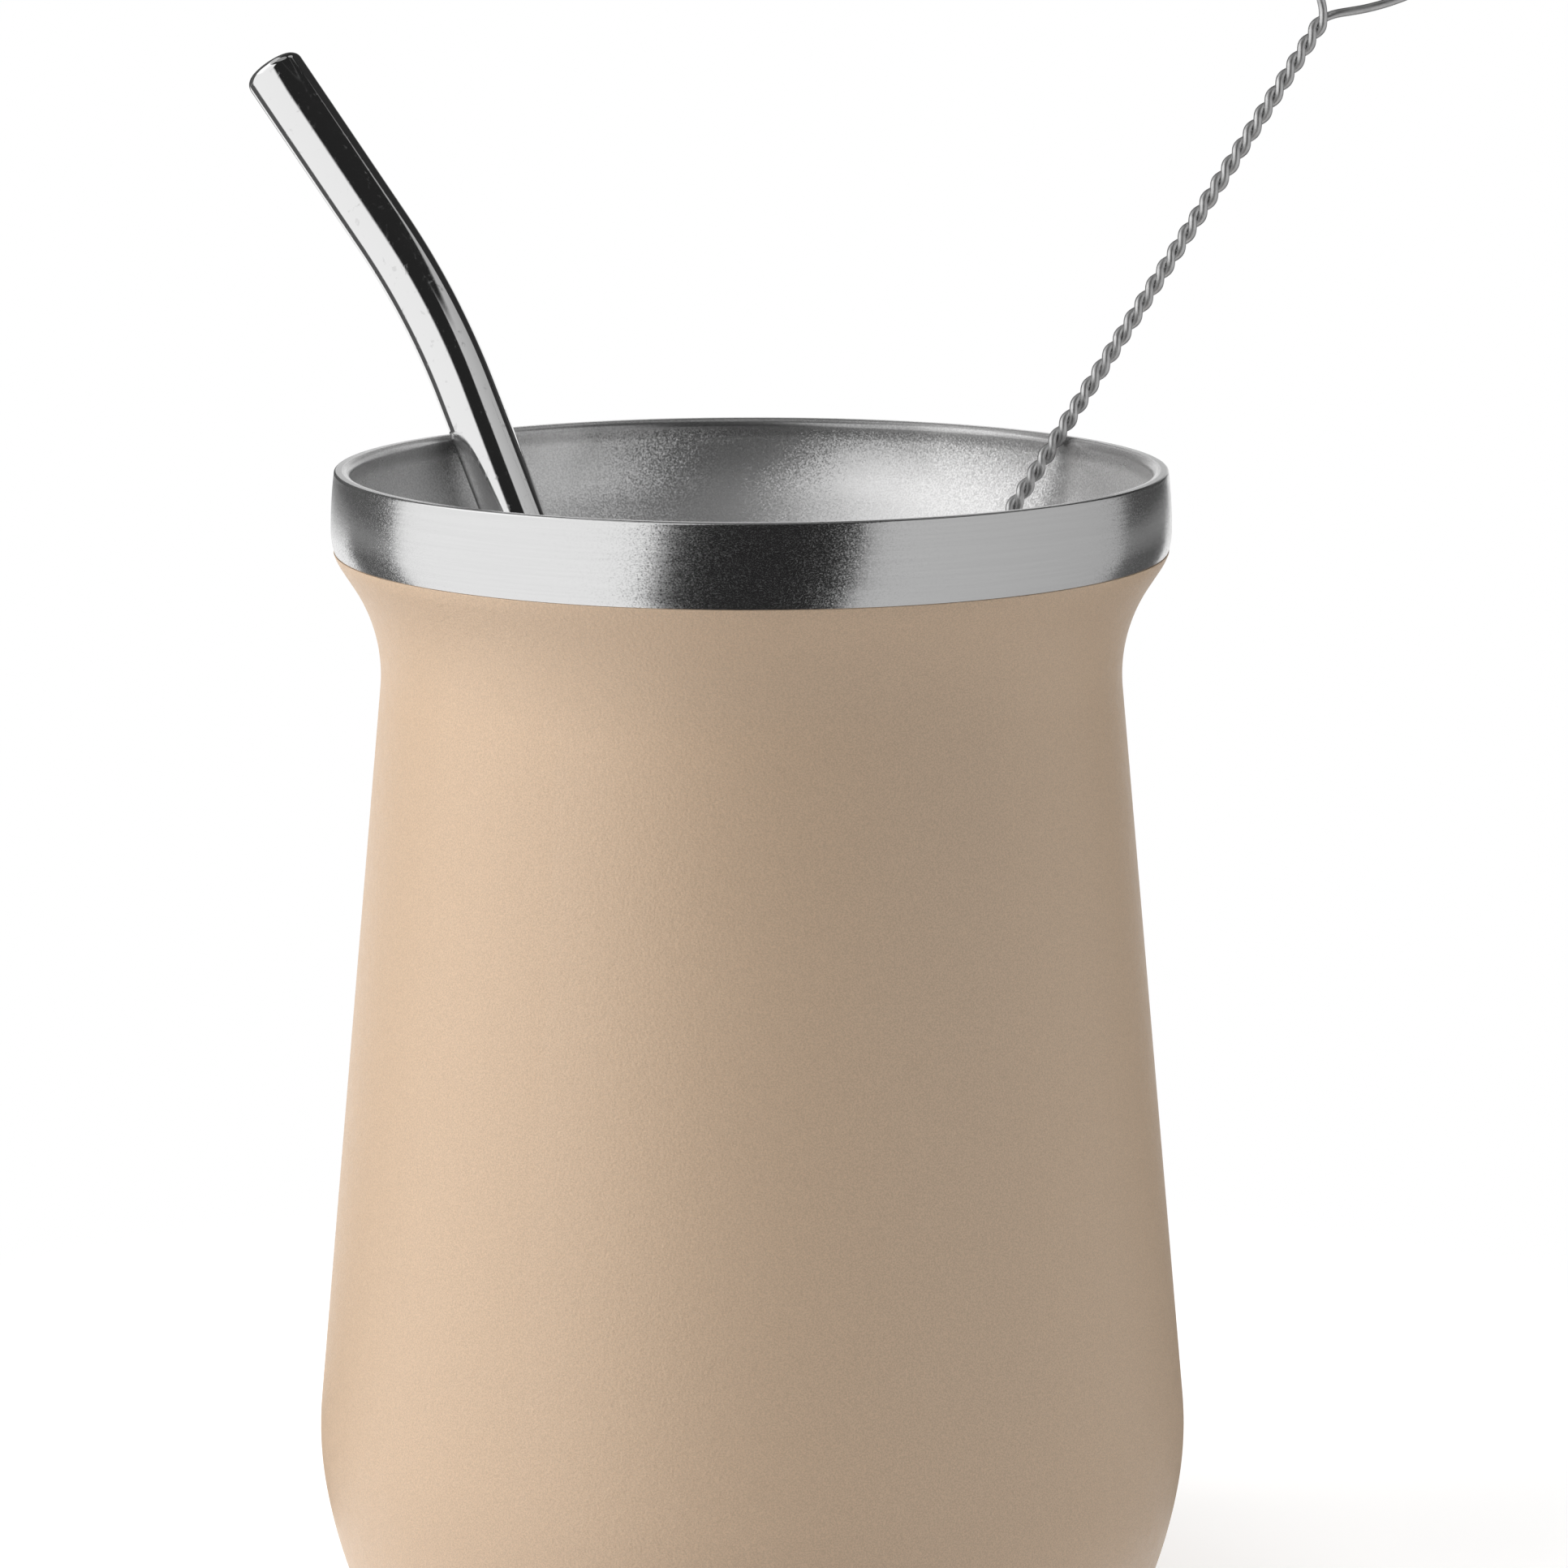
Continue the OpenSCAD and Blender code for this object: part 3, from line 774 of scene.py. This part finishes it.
# The studio is a round room: a floor, a ring and a ceiling. Its panels are painted over each other on a
# white backdrop. low and high are the azimuths of a panel's edges at its foot and at its top, z its
# lowest and highest height, light the level at its low and high edge, and soft the softness of those
# edges in degrees. Heights are in metres; those from 1 up lie on the ceiling, with 2 at its middle.
STUDIO_R = 0.42
STUDIO_H = 0.75
STUDIO_FLOOR_Z = 0.4 * MM
STUDIO_FLOOR_RADII = (0.055, 0.09, 0.15, 0.25, 0.35)
CEILING_RISE = 0.01
CEILING_HOLE_R = 0.001
STUDIO_TURNS = 360
PANEL_SOFT_Z = 0.014
Panel = namedtuple("Panel", "low high z light soft")
DARK_PANELS = [
    Panel(low=(-181, -181), high=(181, 181), z=(0.2, 0.3), light=(0.15, 0.15), soft=(1, 1)),
    Panel(low=(-181, -181), high=(181, 181), z=(0.3, 0.75), light=(0.05, 0.05), soft=(1, 1)),
    Panel(low=(-136.5, -136.5), high=(150, 150), z=(-1, 0.06), light=(0.1, 0.09), soft=(1.5, 1.5)),
    Panel(low=(-166, -160), high=(157, 159), z=(0.06, 0.75), light=(0.1, 0.06), soft=(1.5, 1.5)),
    Panel(low=(112, 112), high=(181, 181), z=(0.24, 0.75), light=(0.03, 0.03), soft=(1.5, 1.5)),
    Panel(low=(-60, -60), high=(70, 70), z=(-1, 0.75), light=(0.02, 0.02), soft=(5, 5)),
    Panel(low=(-7, -7), high=(181, 181), z=(0.56, 0.75), light=(0.02, 0.02), soft=(3, 3)),
]
CEILING_PANELS = [
    Panel(low=(-181, -181), high=(181, 181), z=(0.75, 3), light=(0.02, 0.02), soft=(1, 1)),
    Panel(low=(-181, -181), high=(181, 181), z=(1.5, 3), light=(0.3, 0.3), soft=(1, 1)),
]
BRIGHT_PANELS = [
    Panel(low=(-150, -150), high=(-62, -62), z=(0.56, 1.6), light=(0.6, 0.6), soft=(4, 6)),
    Panel(low=(-107, -110.5), high=(-26, -9), z=(-1, 0.8), light=(1.0, 0.98), soft=(3, 3.5)),
    Panel(low=(-110, -112), high=(-62, -44), z=(0.27, 0.8), light=(1.45, 1.1), soft=(3, 14)),
    Panel(low=(25, 43), high=(115, 120), z=(-1, 0.56), light=(0.58, 0.46), soft=(3, 2)),
    Panel(low=(118, 118), high=(152, 152), z=(0.62, 1.3), light=(0.4, 0.4), soft=(4, 4)),
]


def make_floor():
    """White floor that keeps a soft shadow near the cup and runs out into the white backdrop."""
    h = FLOOR_HALF
    z = -FLOOR_Z_DROP
    floor = add_piece("floor", [(-h, -h, z), (h, -h, z), (h, h, z), (-h, h, z)], [(0, 1, 2, 3)])
    material = bpy.data.materials.new("stage_floor")
    n = Nodes(material)
    matt = n.add("ShaderNodeBsdfDiffuse", {"Color": FLOOR_COLOR}).outputs[0]
    glow = n.add("ShaderNodeEmission", {"Strength": FLOOR_GLOW}).outputs[0]
    near = n.add("ShaderNodeAddShader", {0: matt, 1: glow}).outputs[0]
    far = n.add("ShaderNodeEmission", {"Strength": 1.0}).outputs[0]
    coords = n.add("ShaderNodeTexCoord").outputs["Object"]
    radius = n.add("ShaderNodeVectorMath", {0: coords}, operation="LENGTH").outputs["Value"]
    shown = n.mix_shader(n.ramp(radius, SHADOW_R / 2, SHADOW_R), near, far)
    n.add("ShaderNodeOutputMaterial", {"Surface": n.mix_shader(n.seen(), matt, shown)})
    floor.data.materials.append(material)


def share(x, start, end):
    """How far x lies on the way from start to end, from 0 to 1."""
    return min(max((x - start) / (end - start), 0), 1)


def soft_step(x, edge, soft):
    """0 below the edge and 1 above it, with a soft change between."""
    t = share(x, edge - soft, edge + soft)
    return t * t * (3 - 2 * t)


def studio_level(azimuth, height):
    """Light level of the studio in one direction, as the bare metal shows it."""
    level = 1.0
    for panel in DARK_PANELS + CEILING_PANELS + BRIGHT_PANELS:
        bottom, top = panel.z
        rise = share(height, max(bottom, 0), top)
        low = panel.low[0] + (panel.low[1] - panel.low[0]) * rise
        high = panel.high[0] + (panel.high[1] - panel.high[0]) * rise
        cover = soft_step(azimuth, low, panel.soft[0]) * (1 - soft_step(azimuth, high, panel.soft[1]))
        cover *= soft_step(height, bottom, PANEL_SOFT_Z) * (1 - soft_step(height, top, PANEL_SOFT_Z))
        light = panel.light[0] + (panel.light[1] - panel.light[0]) * share(azimuth, low, high)
        level += cover * (light - level)
    return level


def make_studio():
    """Soft panels all round, which only metal and gloss reflect."""
    profile = [(r, STUDIO_FLOOR_Z, 0.0) for r in STUDIO_FLOOR_RADII]
    profile += [(STUDIO_R, z, z) for z in np.linspace(STUDIO_FLOOR_Z, STUDIO_H, 48)]
    for r in np.linspace(STUDIO_R, CEILING_HOLE_R, 22):
        profile.append((r, STUDIO_H + CEILING_RISE, 2 - r / STUDIO_R))
    verts = []
    levels = []
    for k in range(STUDIO_TURNS + 1):
        azimuth = -180.0 + 360.0 * k / STUDIO_TURNS
        a = math.radians(azimuth)
        for r, z, height in profile:
            verts.append((r * math.sin(a), -r * math.cos(a), z))
            levels.append(studio_level(azimuth, height))
    rows = len(profile)
    faces = []
    for k in range(STUDIO_TURNS):
        for i in range(k * rows, (k + 1) * rows - 1):
            faces.append((i, i + 1, i + rows + 1, i + rows))
    studio = add_piece("studio_dome", verts, faces)
    studio.data.attributes.new("level", "FLOAT", "POINT").data.foreach_set("value", levels)
    material = bpy.data.materials.new("studio_panels")
    n = Nodes(material)
    level = n.add("ShaderNodeAttribute", attribute_name="level").outputs["Fac"]
    glow = n.add("ShaderNodeEmission", {"Strength": level}).outputs[0]
    n.add("ShaderNodeOutputMaterial", {"Surface": glow})
    material.cycles.emission_sampling = "NONE"
    studio.data.materials.append(material)
    studio.visible_camera = False
    studio.visible_diffuse = False
    studio.visible_shadow = False
    studio.visible_transmission = False
    studio.visible_volume_scatter = False


def add_lamp(name, azimuth, distance, height, size, radiance, color=WHITE[:3]):
    """A soft box that lights matt surfaces. Its size is (width, height) and it faces the cup."""
    data = bpy.data.lights.new(name, "AREA")
    data.shape = "RECTANGLE"
    data.size, data.size_y = size
    data.energy = radiance * math.pi * size[0] * size[1]
    data.color = color
    lamp = bpy.data.objects.new(name, data)
    bpy.context.scene.collection.objects.link(lamp)
    a = math.radians(azimuth)
    lamp.location = (distance * math.sin(a), -distance * math.cos(a), height)
    aim = LAMP_AIM - Vector(lamp.location)
    lamp.rotation_euler = aim.to_track_quat("-Z", "Y").to_euler()
    lamp.visible_camera = False
    lamp.visible_glossy = False


def make_lamps():
    """A warm key from the left, a fill from the right, one from behind and a small one overhead."""
    add_lamp("lamp_left", -71.5, 0.62, 0.3, size=(0.65, 1.0), radiance=3.2, color=LEFT_LAMP_COLOR)
    add_lamp("lamp_right", 76, 0.62, 0.3, size=(1.0, 1.0), radiance=0.93)
    add_lamp("lamp_back", 180, 0.7, 0.34, size=(0.7, 0.8), radiance=1.1)
    add_lamp("lamp_top", 0, 0.02, 0.72, size=(0.2, 0.2), radiance=12.0)


def make_world():
    """Even dim light for matt surfaces; the camera, metal and glass see a white backdrop."""
    world = bpy.data.worlds.new("stage_world")
    bpy.context.scene.world = world
    n = Nodes(world)
    dim = n.add("ShaderNodeBackground", {"Color": WHITE, "Strength": AMBIENT}).outputs[0]
    white = n.add("ShaderNodeBackground", {"Color": WHITE, "Strength": 1.0}).outputs[0]
    n.add("ShaderNodeOutputWorld", {"Surface": n.mix_shader(n.seen(), dim, white)})


def make_camera():
    """A long lens that looks slightly down on the cup from the front."""
    data = bpy.data.cameras.new("camera")
    data.sensor_width = SENSOR_W
    data.lens = CAMERA_LENS
    data.clip_start = 0.01
    camera = bpy.data.objects.new("camera", data)
    bpy.context.scene.collection.objects.link(camera)
    camera.location = CAMERA_PLACE
    camera.rotation_euler = (math.pi / 2 - CAMERA_DOWN, 0, 0)
    bpy.context.scene.camera = camera


# The object: each piece with its material, the node that it stands for and its slot
def finish_piece(piece, material, node):
    """Gives a piece its material and its place in the part's table."""
    piece.data.materials.append(material)
    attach(piece, "root")
    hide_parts(node)


def make_object():
    """All pieces on the one body; the strainer is the CAD's own node with a material of its own."""
    shell = revolve("cup_outer_wall", shell_outline())
    coat = revolve("cup_coat", coat_outline())
    liner = revolve("cup_liner", liner_outline())
    finish_piece(shell, brushed_band(), "outer_shell")
    finish_piece(coat, powder_coat(), "powder_coat")
    finish_piece(liner, blasted_liner(), "inner_liner")
    finish_piece(make_straw(), polished_tube(), "straw_tube")
    finish_piece(make_brush_wire(), wire_steel(), "brush_wire")
    finish_piece(make_bristles(), bristle_nylon(), "bristles")
    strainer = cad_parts["strainer"]
    strainer.data.materials.clear()
    strainer.data.materials.append(strainer_steel())


make_object()
make_floor()
make_studio()
make_lamps()
make_world()
make_camera()
bpy.context.scene.view_settings.view_transform = "Standard"
